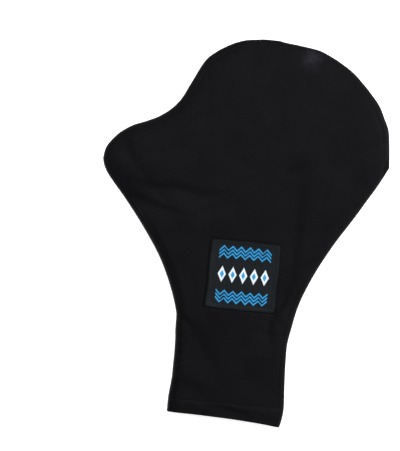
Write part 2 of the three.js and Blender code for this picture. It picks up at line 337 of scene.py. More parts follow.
# How deep a crease goes at each point, shallower towards its ends and fading out beyond them
def creaseDepth(x, y, crease, endShare, power):
    line = smoothPath(crease["path"])
    run = runOf(line)
    near, at, side = nearLine(x, y, line, run)
    offset = near * side
    beyond = np.zeros(x.shape)
    ends = (
        (line[0], line[1], -1, at <= 0),
        (line[-1], line[-2], 1, at >= run[-1]),
    )
    for end, inner, turn, atEnd in ends:
        ahead = (end - inner) / np.linalg.norm(end - inner)
        dx = x - end[0]
        dy = y - end[1]
        offset = np.where(atEnd, turn * (dx * ahead[1] - dy * ahead[0]), offset)
        beyond = np.where(atEnd, dx * ahead[0] + dy * ahead[1], beyond)
    taper = np.sin(np.pi * np.clip(endShare + (1 - 2 * endShare) * at / run[-1], 0, 1)) ** power
    fade = hump(beyond / mm, creaseShape["fadeOut"] * crease["width"])
    return mm * crease["depth"] * taper * fade * creaseDip(offset / mm, crease["width"])


# The raised allowance and the dip beside it, tighter to the edge along the thumb's side of the wrist
def allowanceHeight(x, y, inside, along):
    onWrist = ease((mouthY + allowance["wristBelow"] - y) / allowance["wristOver"]) * (x < 0)
    firstRate, firstStart, secondRate, secondStart = allowance["clearWaves"]
    clear = 0.5 + 0.5 * np.sin(along * firstRate + firstStart) * np.sin(along * secondRate + secondStart)
    parts = (
        ("ridge", 1, (1 - onWrist) * clear),
        ("groove", -1, (1 - onWrist) * clear),
        ("wristRidge", 1, onWrist),
        ("wristGroove", -1, onWrist),
    )
    total = np.zeros(x.shape)
    for name, sign, weight in parts:
        distance, width, height = allowance[name]
        total = total + sign * height * weight * hump(inside - distance, width)
    drift, driftRate = allowance["puckerDrift"]
    pucker = np.sin(along / allowance["puckerLength"] + drift * np.sin(along * driftRate))
    pucker = pucker * (0.5 + 0.5 * np.sin(along * allowance["puckerPatches"]))
    distance, width = allowance["puckerPlace"]
    return total + allowance["pucker"] * pucker * hump(inside - distance, width)


# Height of the upper cloth's outer face, with every crease, swelling and stitched groove
def upperHeight(x, y):
    inside, along, softInside = insideEdge(x, y)
    up = np.clip((y - hemTopY) / (tipY - hemTopY), 0, 1)
    crest = crestZ * smoothThrough(up, loftAlong, loftFill)
    flatter = ease((mouthY + form["thumbSideBelow"] - y) / form["thumbSideOver"]) * (x < 0)
    reach = form["loftReach"] + flatter * (form["thumbSideReach"] - form["loftReach"])
    fullness = form["loftFullness"] + flatter * (form["thumbSideFullness"] - form["loftFullness"])
    rise = np.sin(np.pi / 2 * np.clip(softInside / reach, 0, 1)) ** fullness
    rim = form["rimRise"] * (1 - np.exp(-inside / form["rimWidth"]))
    z = form["seamHeight"] + rim + (crest - form["seamHeight"] - form["rimRise"]) * rise
    z = z + allowanceHeight(x, y, inside, along)
    fade = ease(inside / form["fadeReach"])
    creaseFade = form["creaseAtEdge"] + (1 - form["creaseAtEdge"]) * fade
    for crease in creases:
        z = z - creaseDepth(x, y, crease, *creaseShape["clothEnds"]) * creaseFade
    for swelling in swellings:
        cx, cy = placed(swelling["at"])
        z = z + mm * swelling["height"] * hump(np.hypot(x - cx, y - cy), swelling["radius"] * mm) * fade
    grooveWidth, grooveDepth = channel["groove"]
    valleyWidth, valleyDepth = channel["valley"]
    for path in channelRows:
        line = smoothPath(path)
        near, at, _ = nearLine(x, y, line, runOf(line))
        near = near / mm
        pull = 1 + channel["pull"] * np.sin(at / stitch["pitch"] * 2 * np.pi)
        sunk = grooveDepth * pull * hump(near, grooveWidth) + valleyDepth * hump(near, valleyWidth)
        z = z - mm * fade * sunk
    waves = cloudAt(x, y, *form["broadWave"]) + form["fineShare"] * cloudAt(x, y, *form["fineWave"])
    return z + form["wave"] * waves * fade


edgeCrowding = 0.6


# Columns lie closer together towards both edges
def crowdEdges(share):
    return edgeCrowding * (0.5 - 0.5 * np.cos(np.pi * share)) + (1 - edgeCrowding) * share


# Cloth mesh: a grid primitive laid out between the two sewn edges
def clothGrid(columns, rows):
    bpy.ops.object.select_all(action="DESELECT")
    bpy.ops.mesh.primitive_grid_add(x_subdivisions=columns, y_subdivisions=rows, size=1, location=(0, 0, 0))
    piece = bpy.context.object
    flat = np.array([v.co for v in piece.data.vertices])
    y = np.interp(flat[:, 1] + 0.5, rowRun, fineY)
    x = leftX(y) + (rightX(y) - leftX(y)) * crowdEdges(flat[:, 0] + 0.5)
    return piece, x, y


def setPoints(piece, x, y, z):
    piece.data.vertices.foreach_set("co", np.column_stack([x, y, z]).astype(np.float32).ravel())
    piece.data.update()


def editWhole(piece, operation, **settings):
    selectOnly(piece)
    bpy.ops.object.mode_set(mode="EDIT")
    bpy.ops.mesh.select_all(action="SELECT")
    operation(**settings)
    bpy.ops.object.mode_set(mode="OBJECT")


# The cloth's own flat coordinates are in centimetres, so that the knit keeps its scale
perMetre = 100


def setUv(piece, u, v, scale):
    layer = piece.data.uv_layers.active or piece.data.uv_layers.new(name="cloth")
    corners = np.zeros(len(piece.data.loops), int)
    piece.data.loops.foreach_get("vertex_index", corners)
    points = np.column_stack([u[corners], v[corners]]).astype(np.float32).ravel()
    layer.data.foreach_set("uv", points * scale)


clothWall = {
    "thickness": 1.05 * mm,
    "pinchWidth": 1.6 * mm,      # thinner this far inside the seam
    "thinEdge": 0.15,
    "smoothAngle": 50,
}


# One wall of cloth, thinner where it is pinched in the seam
def giveWall(piece, thickness, weights, edgeShare):
    group = piece.vertex_groups.new(name="wall")
    for index, weight in enumerate(weights):
        group.add([index], float(weight), "REPLACE")
    selectOnly(piece)
    wall = piece.modifiers.new("wall", "SOLIDIFY")
    wall.thickness = thickness
    wall.offset = -1
    wall.use_even_offset = False
    wall.vertex_group = "wall"
    wall.thickness_vertex_group = edgeShare
    bpy.ops.object.modifier_apply(modifier=wall.name)
    piece.vertex_groups.clear()
    bpy.ops.object.shade_smooth_by_angle(angle=math.radians(clothWall["smoothAngle"]))


def givePanelWall(piece, inside):
    giveWall(piece, clothWall["thickness"], ease(inside / clothWall["pinchWidth"]), clothWall["thinEdge"])


backPanel = {
    "columns": 140,
    "rows": 290,
    "seamDip": (0.12 * mm, 2.2 * mm),        # on both sides of the join with the hem: depth and width
    "patchDip": (0.40 * mm, 0.9 * mm),       # along the outline of the tightly sewn patch
}


# Distance outside a box in plan, less than 0 within it
def outsideBox(x, y, low, high):
    beyondX = np.maximum(low[0] - x, x - high[0])
    beyondY = np.maximum(low[1] - y, y - high[1])
    outside = np.hypot(np.maximum(beyondX, 0), np.maximum(beyondY, 0))
    return outside + np.minimum(np.maximum(beyondX, beyondY), 0)


def makeBackPanel(material):
    piece, x, y = clothGrid(backPanel["columns"], backPanel["rows"])
    depth, width = backPanel["seamDip"]
    z = upperHeight(x, y) - depth * hump(y - panelEndY, width)
    depth, width = backPanel["patchDip"]
    z = z - depth * hump(outsideBox(x, y, *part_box("label")), width)
    setPoints(piece, x, y, z)
    setUv(piece, x, y, perMetre)
    givePanelWall(piece, nearLine(x, y, sewnLine, sewnRun)[0])
    return finishPiece(piece, "backCloth", material, "cloth", "back_panel")


palmPanel = {
    "columns": 56,
    "rows": 290,
    "channelRise": (0.35 * mm, 1.2 * mm),      # along the stitched rows: height and width
}


def makePalmPanel(material):
    piece, x, y = clothGrid(palmPanel["columns"], palmPanel["rows"])
    inside = nearLine(x, y, sewnLine, sewnRun)[0]
    z = underHeight(x, y, inside)
    rise, width = palmPanel["channelRise"]
    for path in channelRows:
        line = smoothPath(path)
        near = nearLine(x, y, line, runOf(line))[0]
        z = z + rise * hump(near, width) * ease(inside / form["fadeReach"])
    setPoints(piece, x, y, z)
    setUv(piece, x, y, perMetre)
    editWhole(piece, bpy.ops.mesh.flip_normals)
    givePanelWall(piece, inside)
    return finishPiece(piece, "palmCloth", material, "cloth", "palm_panel")


# The hem: one torus primitive laid round the wrist, its tube shaped into the turned, doubled cloth
cuffHem = {
    "around": 360,
    "wall": 1.9 * mm,            # two thicknesses of cloth
    "outerRows": 18,
    "foldRows": 7,
    "innerRows": 9,
    "seamClearance": 0.03 * mm,
    "tuckDrop": 1.2 * mm,        # its top end slides in under the panels' own wall
    "tuckInset": 2.4 * mm,
    "tuckReach": 0.3 * mm,
    "sideWall": 2.2 * mm,
    "swell": (0.40 * mm, 6.5 * mm, 5.0 * mm),      # height, distance from the mouth, width
    "mouthDip": 2.9 * mm,        # the mouth stands back this far, and most of it by this power
    "mouthBend": 2.4,
    "cornerDrop": 0.9 * mm,
    "cornerBend": 9,
    "narrowing": 2.0 * mm,       # on the little finger's side, at the mouth
    "leastGap": 0.1 * mm,
    "sideFade": 5 * mm,
    "seamFade": 3 * mm,
    "gathers": (0.10 * mm, 2.3 * mm, 2.2 * mm, 2.0 * mm),      # height, length, place and width
    "underShift": 0.1,           # the knit under the wrist is laid out beside the upper part
}

hemCreases = [
    {"path": [(-12, 10.6), (-4, 9.6), (8, 8.2), (19, 6.4)], "width": 2.8, "depth": 1.05},
    {"path": [(-30, 8), (-22, 6.5), (-15, 7.5)], "width": 2.0, "depth": 0.25},
    {"path": [(22, 9), (29, 5.5), (36, 6)], "width": 2.0, "depth": 0.5},
]
seamLeft = float(leftX(np.array([hemTopY]))[0])
seamRight = float(rightX(np.array([hemTopY]))[0])


# Height of the hem's upper outer face
def hemHeight(x, fromMouth):
    z = upperHeight(x, np.full(x.shape, hemTopY))
    face = ease(np.minimum(x - seamLeft, seamRight - x) / cuffHem["sideFade"])
    toSeam = panelEndY - mouthY - fromMouth
    dents = 0
    for crease in hemCreases:
        dents = dents - creaseDepth(x, mouthY + fromMouth, crease, *creaseShape["hemEnds"])
    height, place, width = cuffHem["swell"]
    swell = height * hump(fromMouth - place, width)
    height, length, place, width = cuffHem["gathers"]
    gathers = height * np.sin(x / length) * hump(toSeam - place, width)
    z = z + (dents + swell) * ease(toSeam / cuffHem["seamFade"]) * face + gathers * face
    depth, width = backPanel["seamDip"]
    return z - depth * hump(toSeam, width)


# Stations round the tube: how far each lies from the mouth, and how far in from the outer face
def hemSection():
    top = panelEndY - cuffHem["seamClearance"] - mouthY
    radius = cuffHem["wall"] / 2
    outerY = np.linspace(top, radius, cuffHem["outerRows"])
    turn = np.linspace(0, np.pi, cuffHem["foldRows"] + 2)[1:-1]
    innerTop = hemTopY + cuffHem["tuckReach"] - mouthY
    innerY = np.linspace(radius, innerTop, cuffHem["innerRows"])
    fromMouth = np.concatenate([outerY, radius - radius * np.sin(turn), innerY, [innerTop, top]])
    inward = np.concatenate([0 * outerY, radius - radius * np.cos(turn), 0 * innerY + cuffHem["wall"],
                             [cuffHem["tuckDrop"], cuffHem["tuckDrop"]]])
    return fromMouth, inward


def makeCuffHem(material):
    sectionY, sectionIn = hemSection()
    bpy.ops.object.select_all(action="DESELECT")
    bpy.ops.mesh.primitive_torus_add(major_segments=cuffHem["around"], minor_segments=len(sectionY),
                                     major_radius=1, minor_radius=0.25, location=(0, 0, 0))
    piece = bpy.context.object
    points = np.array([v.co for v in piece.data.vertices])
    ring = np.mod(np.arctan2(points[:, 1], points[:, 0]) / (2 * np.pi) + 1e-6, 1)
    tube = np.arctan2(points[:, 2], np.hypot(points[:, 0], points[:, 1]) - 1) / (2 * np.pi)
    station = np.mod(np.round(tube * len(sectionY)).astype(int), len(sectionY))
    fromMouth = sectionY[station]
    inward = sectionIn[station]
    outer = inward == 0

    # round the wrist: across the back of the wrist, then back under it
    upper = ring < 0.5
    swing = np.where(upper, ring * 2, 2 - ring * 2)
    across = crowdEdges(swing)
    inset = cuffHem["sideWall"] * np.clip(inward / cuffHem["wall"], 0, 1)
    inset = np.where(inward == cuffHem["tuckDrop"], cuffHem["tuckInset"], inset)
    x = seamLeft + inset + (seamRight - seamLeft - 2 * inset) * across
    top = upperHeight(x, np.full(x.shape, hemTopY))
    bottom = underHeight(x, np.full(x.shape, hemTopY))
    half = np.clip(inward, 0, np.maximum(0.5 * (top - bottom) - cuffHem["leastGap"], 0))
    z = np.where(upper, top - half, bottom + half)
    z = np.where(outer & upper, hemHeight(x, fromMouth), z)

    # the mouth stands back towards the hand, except at the little finger's corner
    toMouth = 1 - np.clip(fromMouth / sectionY[0], 0, 1)
    share = np.clip((x - seamLeft) / (seamRight - seamLeft), 0, 1)
    standsBack = cuffHem["mouthDip"] * (1 - share ** cuffHem["mouthBend"])
    standsBack = standsBack - cuffHem["cornerDrop"] * share ** cuffHem["cornerBend"]
    y = mouthY + fromMouth + standsBack * toMouth
    x = x - cuffHem["narrowing"] * share * toMouth ** 2
    setPoints(piece, x, y, z)
    setUv(piece, x + np.where(upper, 0, cuffHem["underShift"]), y, perMetre)
    editWhole(piece, bpy.ops.mesh.normals_make_consistent, inside=False)
    bpy.ops.object.shade_smooth()
    return finishPiece(piece, "hemCloth", material, "cloth", "cuff_hem")


# The woven label: a plane primitive, cut fine, with its folded border raised
labelPatch = {
    "cells": 84,
    "thickness": 0.75 * mm,
    "gap": 0.10 * mm,
    "border": 2.0 * mm,
    "borderRise": 0.34 * mm,
    "outerRamp": 0.5 * mm,
    "innerRamp": 0.6 * mm,
    "edgeDrop": 0.45 * mm,
    "stitchInset": 1.1 * mm,
    "cornerLift": (0.30 * mm, 9 * mm),       # height and reach
    "ripple": (0.10 * mm, 4.3 * mm, 0.7, 5.9 * mm),
    "bow": 0.40 * mm,
    "waver": (0.12 * mm, 2.9 * mm),
    "sway": (0.22 * mm, 4.3 * mm, 1.0),
    "cornerPull": (0.35 * mm, 1.3 * mm),
    "sideReach": 4 * mm,
    "endReach": 6 * mm,
}


def makeLabel(material):
    low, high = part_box("label")
    centre = (0.5 * (low[0] + high[0]), 0.5 * (low[1] + high[1]), 0)
    bpy.ops.object.select_all(action="DESELECT")
    bpy.ops.mesh.primitive_plane_add(size=1, location=centre)
    piece = bpy.context.object
    piece.scale = (high[0] - low[0], high[1] - low[1], 1)
    bpy.ops.object.transform_apply(location=True, rotation=True, scale=True)
    editWhole(piece, bpy.ops.mesh.subdivide, number_cuts=labelPatch["cells"] - 1)
    points = np.array([v.co for v in piece.data.vertices])
    x = points[:, 0]
    y = points[:, 1]
    sideGap = np.minimum(x - low[0], high[0] - x)
    endGap = np.minimum(y - low[1], high[1] - y)
    edge = np.minimum(sideGap, endGap)
    corner = np.hypot(sideGap, endGap)
    z = upperHeight(x, y) + labelPatch["gap"] + labelPatch["thickness"]
    raised = ease(edge / labelPatch["outerRamp"])
    raised = raised - ease((edge - labelPatch["border"]) / labelPatch["innerRamp"])
    z = z + labelPatch["borderRise"] * raised
    z = z - labelPatch["edgeDrop"] * (1 - ease(edge / labelPatch["innerRamp"]))
    height, reach = labelPatch["cornerLift"]
    z = z + height * (1 - ease(corner / reach))
    height, length, start, rise = labelPatch["ripple"]
    z = z + height * np.sin(x / length + start) * np.sin(y / rise)

    # the edges bow and waver by a thread or two, as on a patch sewn to stretch cloth
    height, length = labelPatch["waver"]
    bow = labelPatch["bow"] * np.sin(np.pi * (x - low[0]) / (high[0] - low[0]))
    bow = bow + height * np.sin(x / length)
    height, length, start = labelPatch["sway"]
    sway = height * np.sin(y / length + start)
    pull, reach = labelPatch["cornerPull"]
    inward = pull * hump(corner, reach)
    atSides = hump(x - high[0], labelPatch["sideReach"]) - hump(x - low[0], labelPatch["sideReach"])
    atEnds = hump(y - high[1], labelPatch["endReach"]) - hump(y - low[1], labelPatch["endReach"])
    flatX = x + sway * atSides - inward * np.sign(x - centre[0])
    flatY = y + bow * atEnds - inward * np.sign(y - centre[1])
    setPoints(piece, flatX, flatY, z)
    setUv(piece, (x - low[0]) / (high[0] - low[0]), (y - low[1]) / (high[1] - low[1]), 1)
    giveWall(piece, labelPatch["thickness"], np.ones(len(piece.data.vertices)), 1)
    return finishPiece(piece, "wovenLabel", material, "label_weave", "label")


# One stitch is modelled once and copied along its row
stitch = {
    "length": 2.0 * mm,
    "radius": 0.15 * mm,
    "pitch": 3.0 * mm,
    "hemPitch": 2.6 * mm,
    "labelPitch": 2.4 * mm,
    "lookAhead": 0.6 * mm,       # the row's direction is taken over this far to both sides
    "belowSeam": 1.1 * mm,
    "hemEnds": 2 * mm,
    "hemRise": 0.03 * mm,
    "hemUnderRise": 0.13 * mm,
}


def makeStitchModel():
    bpy.ops.object.select_all(action="DESELECT")
    bpy.ops.mesh.primitive_uv_sphere_add(segments=8, ring_count=6, radius=1, location=(0, 0, 0))
    model = bpy.context.object
    model.scale = (stitch["length"] / 2, stitch["radius"], stitch["radius"])
    bpy.ops.object.transform_apply(location=True, rotation=True, scale=True)
    bpy.ops.object.shade_smooth()
    return model


def sewRow(model, line, pitch, heightAt):
    run = runOf(line)
    count = max(int(run[-1] / pitch), 1)
    at = (np.arange(count) + 0.5) * run[-1] / count
    x = np.interp(at, run, line[:, 0])
    y = np.interp(at, run, line[:, 1])
    ahead = at + stitch["lookAhead"]
    behind = at - stitch["lookAhead"]
    aheadX = np.interp(ahead, run, line[:, 0]) - np.interp(behind, run, line[:, 0])
    aheadY = np.interp(ahead, run, line[:, 1]) - np.interp(behind, run, line[:, 1])
    z = heightAt(x, y)
    slope = heightAt(x + aheadX, y + aheadY) - heightAt(x - aheadX, y - aheadY)
    copies = []
    for i in range(count):
        forward = Vector((2 * aheadX[i], 2 * aheadY[i], slope[i])).normalized()
        side = Vector((0, 0, 1)).cross(forward).normalized()
        up = forward.cross(side)
        turn = Matrix((forward, side, up)).transposed().to_4x4()
        copy = model.copy()
        copy.data = model.data.copy()
        copy.data.transform(Matrix.Translation((x[i], y[i], z[i])) @ turn)
        bpy.context.collection.objects.link(copy)
        copies.append(copy)
    return copies


def sewRows(model, lines, pitch, heightAt):
    return [copy for line in lines for copy in sewRow(model, line, pitch, heightAt)]


def joinCopies(copies, name, material):
    bpy.ops.object.select_all(action="DESELECT")
    for copy in copies:
        copy.select_set(True)
    bpy.context.view_layer.objects.active = copies[0]
    bpy.ops.object.join()
    return finishPiece(bpy.context.object, name, material, "cloth")


def makeStitching(threadMaterial, hemThread):
    model = makeStitchModel()

    channels = [smoothPath(path) for path in channelRows]
    rows = sewRows(model, channels, stitch["pitch"], upperHeight)
    joinCopies(rows, "fingerStitches", threadMaterial)
    rise = palmPanel["channelRise"][0]
    rows = sewRows(model, channels, stitch["pitch"], lambda x, y: underHeight(x, y) + rise)
    joinCopies(rows, "palmStitches", threadMaterial)

    hemX = np.linspace(seamLeft + stitch["hemEnds"], seamRight - stitch["hemEnds"], 60)
    hemLine = np.column_stack([hemX, np.full(hemX.shape, panelEndY - stitch["belowSeam"])])
    rows = sewRow(model, hemLine, stitch["hemPitch"],
                  lambda x, y: hemHeight(x, y - mouthY) + stitch["hemRise"])
    rows += sewRow(model, hemLine, stitch["hemPitch"],
                   lambda x, y: underHeight(x, np.full(x.shape, hemTopY)) + stitch["hemUnderRise"])
    joinCopies(rows, "hemStitches", hemThread)

    low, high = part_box("label")
    inset = labelPatch["stitchInset"]
    x0, x1 = low[0] + inset, high[0] - inset
    y0, y1 = low[1] + inset, high[1] - inset
    square = [(x0, y0), (x1, y0), (x1, y1), (x0, y1), (x0, y0)]
    sides = [np.linspace(start, end, 20) for start, end in zip(square[:-1], square[1:])]
    raised = labelPatch["gap"] + labelPatch["thickness"] + labelPatch["borderRise"]
    rows = sewRows(model, sides, stitch["labelPitch"], lambda x, y: upperHeight(x, y) + raised)
    joinCopies(rows, "labelStitches", threadMaterial)
    bpy.data.objects.remove(model, do_unlink=True)


# Node helpers
def mathNode(tree, operation, a, b=None, c=None):
    node = tree.nodes.new("ShaderNodeMath")
    node.operation = operation
    for index, value in enumerate((a, b, c)):
        if value is None:
            continue
        if isinstance(value, (int, float)):
            node.inputs[index].default_value = value
        else:
            tree.links.new(value, node.inputs[index])
    return node.outputs[0]


def newGroup(name, inputs, outputs):
    tree = bpy.data.node_groups.new(name, "ShaderNodeTree")
    for direction, sockets in (("INPUT", inputs), ("OUTPUT", outputs)):
        for label, kind in sockets:
            tree.interface.new_socket(label, in_out=direction, socket_type=kind)
    return tree, tree.nodes.new("NodeGroupInput"), tree.nodes.new("NodeGroupOutput")


def noiseNode(tree, detail):
    node = tree.nodes.new("ShaderNodeTexNoise")
    node.inputs["Detail"].default_value = detail
    return node


knitShape = {
    "fray": 7.0,
    "frayDetail": 3.0,
    "loopBend": 0.55,
    "waleRoundness": 0.6,
    "loopDepth": 0.45,
}


# Fine stretch knit: upright wales of small loops, as a height and as a mask of painted shade that colours
# the loops' hollows dark and their crowns light
def makeKnitGroup():
    tree, given, made = newGroup(
        "stretchKnit",
        [("Coordinates", "NodeSocketVector"), ("Wales per cm", "NodeSocketFloat"),
         ("Courses per cm", "NodeSocketFloat"), ("Unevenness", "NodeSocketFloat")],
        [("Height", "NodeSocketFloat"), ("Mask", "NodeSocketFloat")],
    )
    calc = partial(mathNode, tree)
    link = tree.links.new
    split = tree.nodes.new("ShaderNodeSeparateXYZ")
    link(given.outputs["Coordinates"], split.inputs[0])
    fray = noiseNode(tree, knitShape["frayDetail"])
    fray.inputs["Scale"].default_value = knitShape["fray"]
    link(given.outputs["Coordinates"], fray.inputs["Vector"])
    shift = calc("MULTIPLY", fray.outputs["Fac"], given.outputs["Unevenness"])
    wales = calc("MULTIPLY", split.outputs[0], given.outputs["Wales per cm"])
    wales = calc("ADD", wales, shift)
    courses = calc("MULTIPLY", split.outputs[1], given.outputs["Courses per cm"])
    arch = calc("ABSOLUTE", calc("SINE", calc("MULTIPLY", wales, math.pi)))
    bend = calc("ADD", courses, calc("MULTIPLY", arch, knitShape["loopBend"]))
    loop = calc("SINE", calc("MULTIPLY", bend, 2 * math.pi))
    loop = calc("MULTIPLY_ADD", loop, 0.5, 0.5)
    loop = calc("MULTIPLY_ADD", loop, knitShape["loopDepth"], 1 - knitShape["loopDepth"])
    height = calc("MULTIPLY", calc("POWER", arch, knitShape["waleRoundness"]), loop)
    link(height, made.inputs["Height"])
    link(calc("MULTIPLY", height, fray.outputs["Fac"]), made.inputs["Mask"])
    return tree


washedTone = {"patchDetail": 4.0, "patchRoughness": 0.55, "fleckDetail": 2.0}


# Slow change of tone over worn, washed cloth
def makeToneGroup():
    tree, given, made = newGroup(
        "washedTone",
        [("Coordinates", "NodeSocketVector"), ("Patch size", "NodeSocketFloat"),
         ("Fleck size", "NodeSocketFloat")],
        [("Tone", "NodeSocketFloat"), ("Flecks", "NodeSocketFloat")],
    )
    patches = noiseNode(tree, washedTone["patchDetail"])
    patches.inputs["Roughness"].default_value = washedTone["patchRoughness"]
    flecks = noiseNode(tree, washedTone["fleckDetail"])
    for node, size, output in ((patches, "Patch size", "Tone"), (flecks, "Fleck size", "Flecks")):
        tree.links.new(given.outputs["Coordinates"], node.inputs["Vector"])
        tree.links.new(given.outputs[size], node.inputs["Scale"])
        tree.links.new(node.outputs["Fac"], made.inputs[output])
    return tree


def newMaterial(name):
    material = bpy.data.materials.new(name)
    material.use_nodes = True
    tree = material.node_tree
    return material, tree, tree.nodes["Principled BSDF"]


def placeGroup(tree, group, values, coordinates):
    node = tree.nodes.new("ShaderNodeGroup")
    node.node_tree = group
    for label, value in values.items():
        node.inputs[label].default_value = value
    tree.links.new(coordinates, node.inputs["Coordinates"])
    return node


def mixColours(tree, factor, first, second):
    node = tree.nodes.new("ShaderNodeMix")
    node.data_type = "RGBA"
    tree.links.new(factor, node.inputs["Factor"])
    for value, socket in ((first, node.inputs[6]), (second, node.inputs[7])):
        if isinstance(value, tuple):
            socket.default_value = value
        else:
            tree.links.new(value, socket)
    return node.outputs[2]


def rangeNode(tree, value, low, high, newLow, newHigh):
    node = tree.nodes.new("ShaderNodeMapRange")
    node.clamp = True
    tree.links.new(value, node.inputs["Value"])
    for label, number in (("From Min", low), ("From Max", high), ("To Min", newLow), ("To Max", newHigh)):
        node.inputs[label].default_value = number
    return node.outputs[0]


# A look's roughness follows a mask, and its relief a height
def finishShader(tree, shader, look, colour, mask, height):
    tree.links.new(colour, shader.inputs["Base Color"])
    tree.links.new(rangeNode(tree, mask, *look["roughness"]), shader.inputs["Roughness"])
    shader.inputs["Specular IOR Level"].default_value = look["gloss"]
    bump = tree.nodes.new("ShaderNodeBump")
    bump.inputs["Strength"].default_value, bump.inputs["Distance"].default_value = look["relief"]
    tree.links.new(height, bump.inputs["Height"])
    tree.links.new(bump.outputs["Normal"], shader.inputs["Normal"])


# Ranges run from a low and a high value of a mask to the two values that it gives
blackKnit = {
    # painted shade: the knit's hollows take the dark colour and its raised loops the lighter one
    "hollowShade": (0.0019, 0.0019, 0.0023, 1),
    "raised": (0.0048, 0.0049, 0.0060, 1),
    "washed": (0.0058, 0.0059, 0.0072, 1),
    "knit": {"Wales per cm": 17.0, "Courses per cm": 21.0, "Unevenness": 0.3},
    "tone": {"Patch size": 0.35, "Fleck size": 6.0},
    "loopRange": (0.1, 0.6, 0, 1),
    "washedRange": (0.35, 0.7, 0, 0.35),
    "cuffShade": 0.86,             # painted shade: the cloth's colour is darkened towards the cuff, deepening the softbox's fall-off
    "shadeFadesOver": (50.0, 84.0),
    "gloss": 0.030,
    "roughness": (0.3, 0.7, 0.50, 0.62),
    "relief": (0.30, 0.12 * mm),
    "bloom": (0.0162, 0.0159, 0.0214, 1),
    "bloomAt": (35.3, 259.0),     # a pale patch near the fingertips
    "bloomZ": 0.006,
    "bloomRadius": (1.0, 11.0),
    "bloomRaggedness": 12.0,
    "bloomRags": 130.0,
    "bloomDetail": 3.0,
    "bloomPower": 1.2,
    "bloomRange": (0.3, 0.65, 0.45, 1.0),
}


def makeClothMaterial(knit, tone):
    material, tree, shader = newMaterial("blackStretchKnit")
    link = tree.links.new
    uv = tree.nodes.new("ShaderNodeUVMap")
    knitNode = placeGroup(tree, knit, blackKnit["knit"], uv.outputs["UV"])
    toneNode = placeGroup(tree, tone, blackKnit["tone"], uv.outputs["UV"])
    # painted shade by the knit's height, made uneven by its fray
    body = mixColours(tree, rangeNode(tree, knitNode.outputs["Mask"], *blackKnit["loopRange"]),
                      blackKnit["hollowShade"], blackKnit["raised"])
    washed = mixColours(tree, rangeNode(tree, toneNode.outputs["Tone"], *blackKnit["washedRange"]),
                        body, blackKnit["washed"])

    place = tree.nodes.new("ShaderNodeTexCoord")
    upTheHand = tree.nodes.new("ShaderNodeSeparateXYZ")
    link(place.outputs["Object"], upTheHand.inputs[0])
    # painted shade: the colour is scaled down from the palm towards the cuff
    low, high = blackKnit["shadeFadesOver"]
    paintedShade = rangeNode(tree, upTheHand.outputs[1], mouthY + low * mm, mouthY + high * mm,
                     blackKnit["cuffShade"], 1)
    shadedKnit = tree.nodes.new("ShaderNodeVectorMath")
    shadedKnit.operation = "SCALE"
    link(washed, shadedKnit.inputs[0])
    link(paintedShade, shadedKnit.inputs["Scale"])

    # the pale patch has a ragged outline: its distance is measured from a shifted point
    ragged = noiseNode(tree, blackKnit["bloomDetail"])
    ragged.inputs["Scale"].default_value = blackKnit["bloomRags"]
    link(place.outputs["Object"], ragged.inputs["Vector"])
    shift = tree.nodes.new("ShaderNodeVectorMath")
    shift.operation = "MULTIPLY_ADD"
    link(ragged.outputs["Color"], shift.inputs[0])
    shift.inputs[1].default_value = (blackKnit["bloomRaggedness"] * mm,) * 3
    link(place.outputs["Object"], shift.inputs[2])
    reach = tree.nodes.new("ShaderNodeVectorMath")
    reach.operation = "DISTANCE"
    link(shift.outputs[0], reach.inputs[0])
    x, y = blackKnit["bloomAt"]
    middle = 0.5 * blackKnit["bloomRaggedness"] * mm
    z = blackKnit["bloomZ"]
    reach.inputs[1].default_value = (x * mm + middle, mouthY + y * mm + middle, z + middle)
    inner, outer = blackKnit["bloomRadius"]
    bloom = rangeNode(tree, reach.outputs["Value"], inner * mm, outer * mm, 1, 0)
    bloom = mathNode(tree, "MULTIPLY", mathNode(tree, "POWER", bloom, blackKnit["bloomPower"]),
                     rangeNode(tree, toneNode.outputs["Flecks"], *blackKnit["bloomRange"]))
    colour = mixColours(tree, bloom, shadedKnit.outputs[0], blackKnit["bloom"])
    finishShader(tree, shader, blackKnit, colour, toneNode.outputs["Flecks"], knitNode.outputs["Height"])
    return material


threadLook = {
    "tone": {"Patch size": 300.0, "Fleck size": 2500.0},
    "gloss": 0.06,
    "roughness": (0.3, 0.7, 0.45, 0.6),
    "relief": (0.4, 0.05 * mm),
}
blackThread = {
    "name": "blackThread",
    "dark": (0.0025, 0.0025, 0.0030, 1),
    "light": (0.0052, 0.0052, 0.0062, 1),
}
greyThread = {
    "name": "greyThread",
    "dark": (0.006, 0.006, 0.007, 1),
    "light": (0.013, 0.013, 0.015, 1),
}


def makeThreadMaterial(tone, thread):
    material, tree, shader = newMaterial(thread["name"])
    place = tree.nodes.new("ShaderNodeTexCoord")
    toneNode = placeGroup(tree, tone, threadLook["tone"], place.outputs["Object"])
    flecks = toneNode.outputs["Flecks"]
    colour = mixColours(tree, flecks, thread["dark"], thread["light"])
    finishShader(tree, shader, threadLook, colour, toneNode.outputs["Tone"], flecks)
    return material


# A generic woven pattern, alike both ways up: a row of lozenges between two bands of zigzag lines
labelWeave = {
    "ground": (0.0048, 0.0061, 0.0074, 1),
    "groundLight": (0.0078, 0.0094, 0.0110, 1),
    "groundRange": (0.3, 0.7, 0.4, 1.6),
    "blue": (0.026, 0.265, 0.560, 1),
    "white": (0.66, 0.72, 0.80, 1),
    "threads": 116,
    "ribDepth": 0.5,
    "shade": 0.30,               # how much darker the pattern is between its threads
    "tone": {"Patch size": 3.0, "Fleck size": 70.0},
    "gloss": 0.05,
    "roughness": (0.3, 0.7, 0.45, 0.6),
    "relief": (0.5, 0.10 * mm),
    "field": 0.375,              # half the width that the pattern fills, as a share of the patch
    "zigzag": {"centre": 0.295, "period": 0.062, "line": 0.0125, "apart": 0.052},
    "lozenge": {"period": 0.0775, "halfWidth": 0.058, "halfHeight": 0.115, "heart": 0.52},
}


